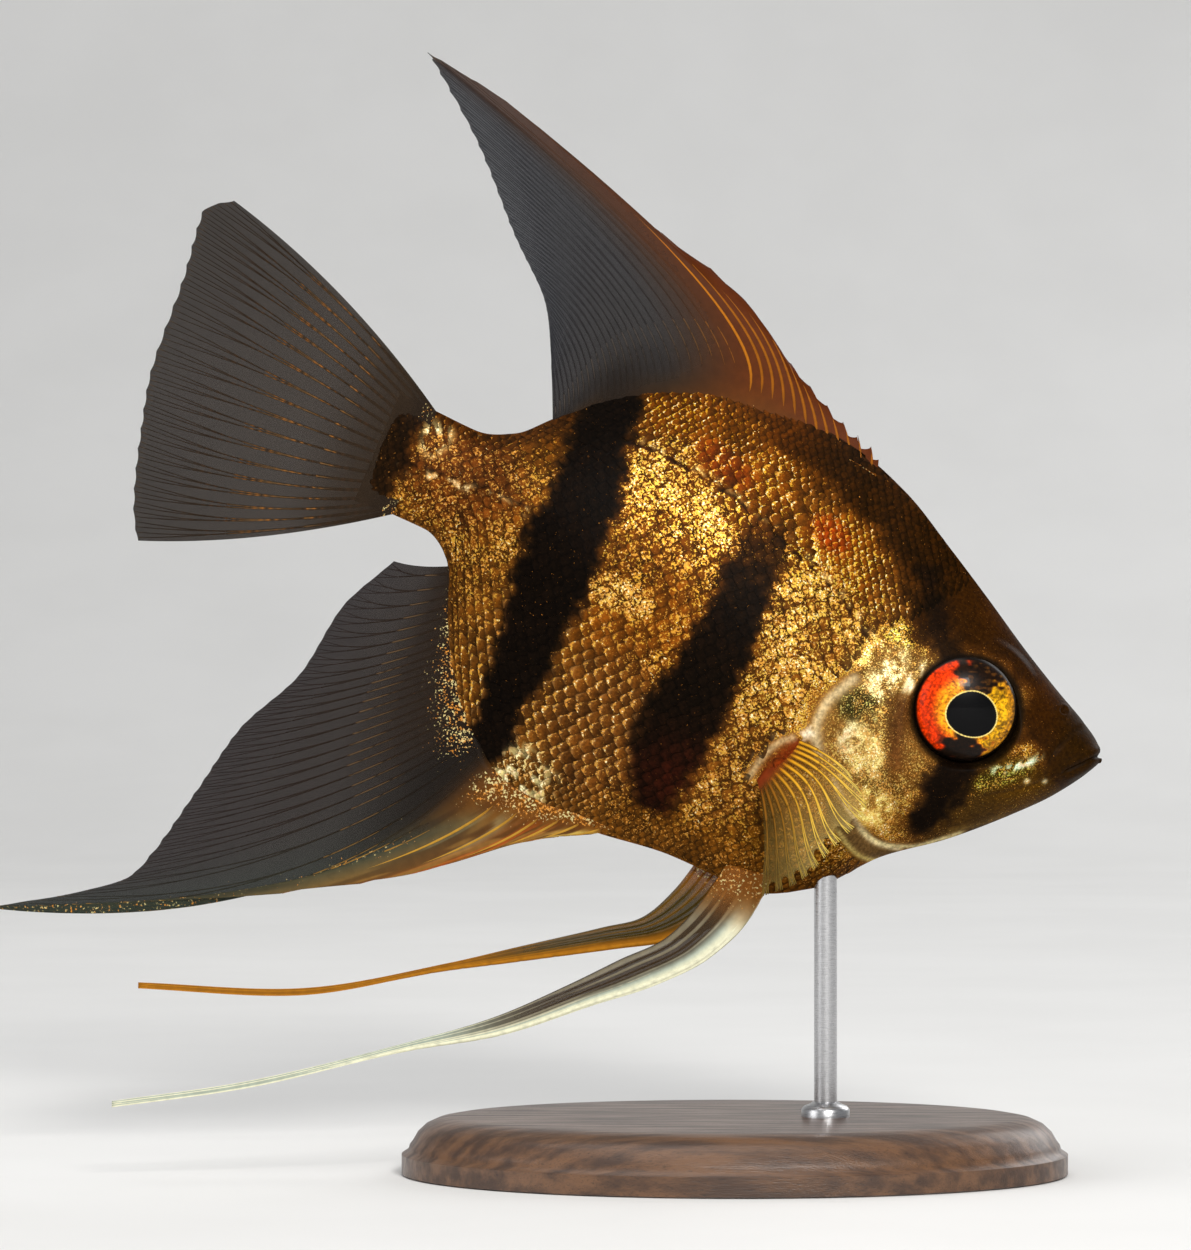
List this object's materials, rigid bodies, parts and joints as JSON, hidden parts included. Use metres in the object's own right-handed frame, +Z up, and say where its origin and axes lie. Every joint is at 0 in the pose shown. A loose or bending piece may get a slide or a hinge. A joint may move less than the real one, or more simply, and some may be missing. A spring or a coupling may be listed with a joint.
{
  "type": "freshwater angelfish",
  "caption": "Life-size still model of a freshwater angelfish, nose down with its fins spread and long trailing pelvic threads, held over an oval foot by a slim rod.",
  "frame": {"origin": "centre of the stand's underside", "axes": "+Z up, +X towards the fish's snout, +Y towards the fish's left side"},
  "size_m": [0.0973, 0.04, 0.0977],
  "materials": {
    "head_skin": "wet, smooth, olive to pale gold skin",
    "scaled_skin": "glittering gold-bronze scales with dark upright bars",
    "eye": "clear wet eye with an orange and gold iris",
    "smoky_fin": "thin smoky see-through web over fine rays",
    "amber_fin": "clear web over yellow rays",
    "rust_fin": "orange ray and dark web",
    "cream_fin": "cream ray and dark web",
    "stand_wood": "satin dark walnut",
    "stand_steel": "brushed"
  },
  "bodies": {
    "root": {"head": "head_skin", "upper_jaw": "head_skin", "lower_jaw": "head_skin", "gill_cover_left": "head_skin", "gill_cover_right": "head_skin", "trunk": "scaled_skin", "tail_stalk": "scaled_skin", "eye_left": "eye", "eye_right": "eye", "dorsal_fin": "smoky_fin", "anal_fin": "smoky_fin", "caudal_fin": "smoky_fin", "pectoral_fin_left": "amber_fin", "pectoral_fin_right": "amber_fin", "pelvic_fin_left": "rust_fin", "pelvic_fin_right": "cream_fin", "stand_base": "stand_wood", "stand_rod": "stand_steel"}
  },
  "joints": []
}
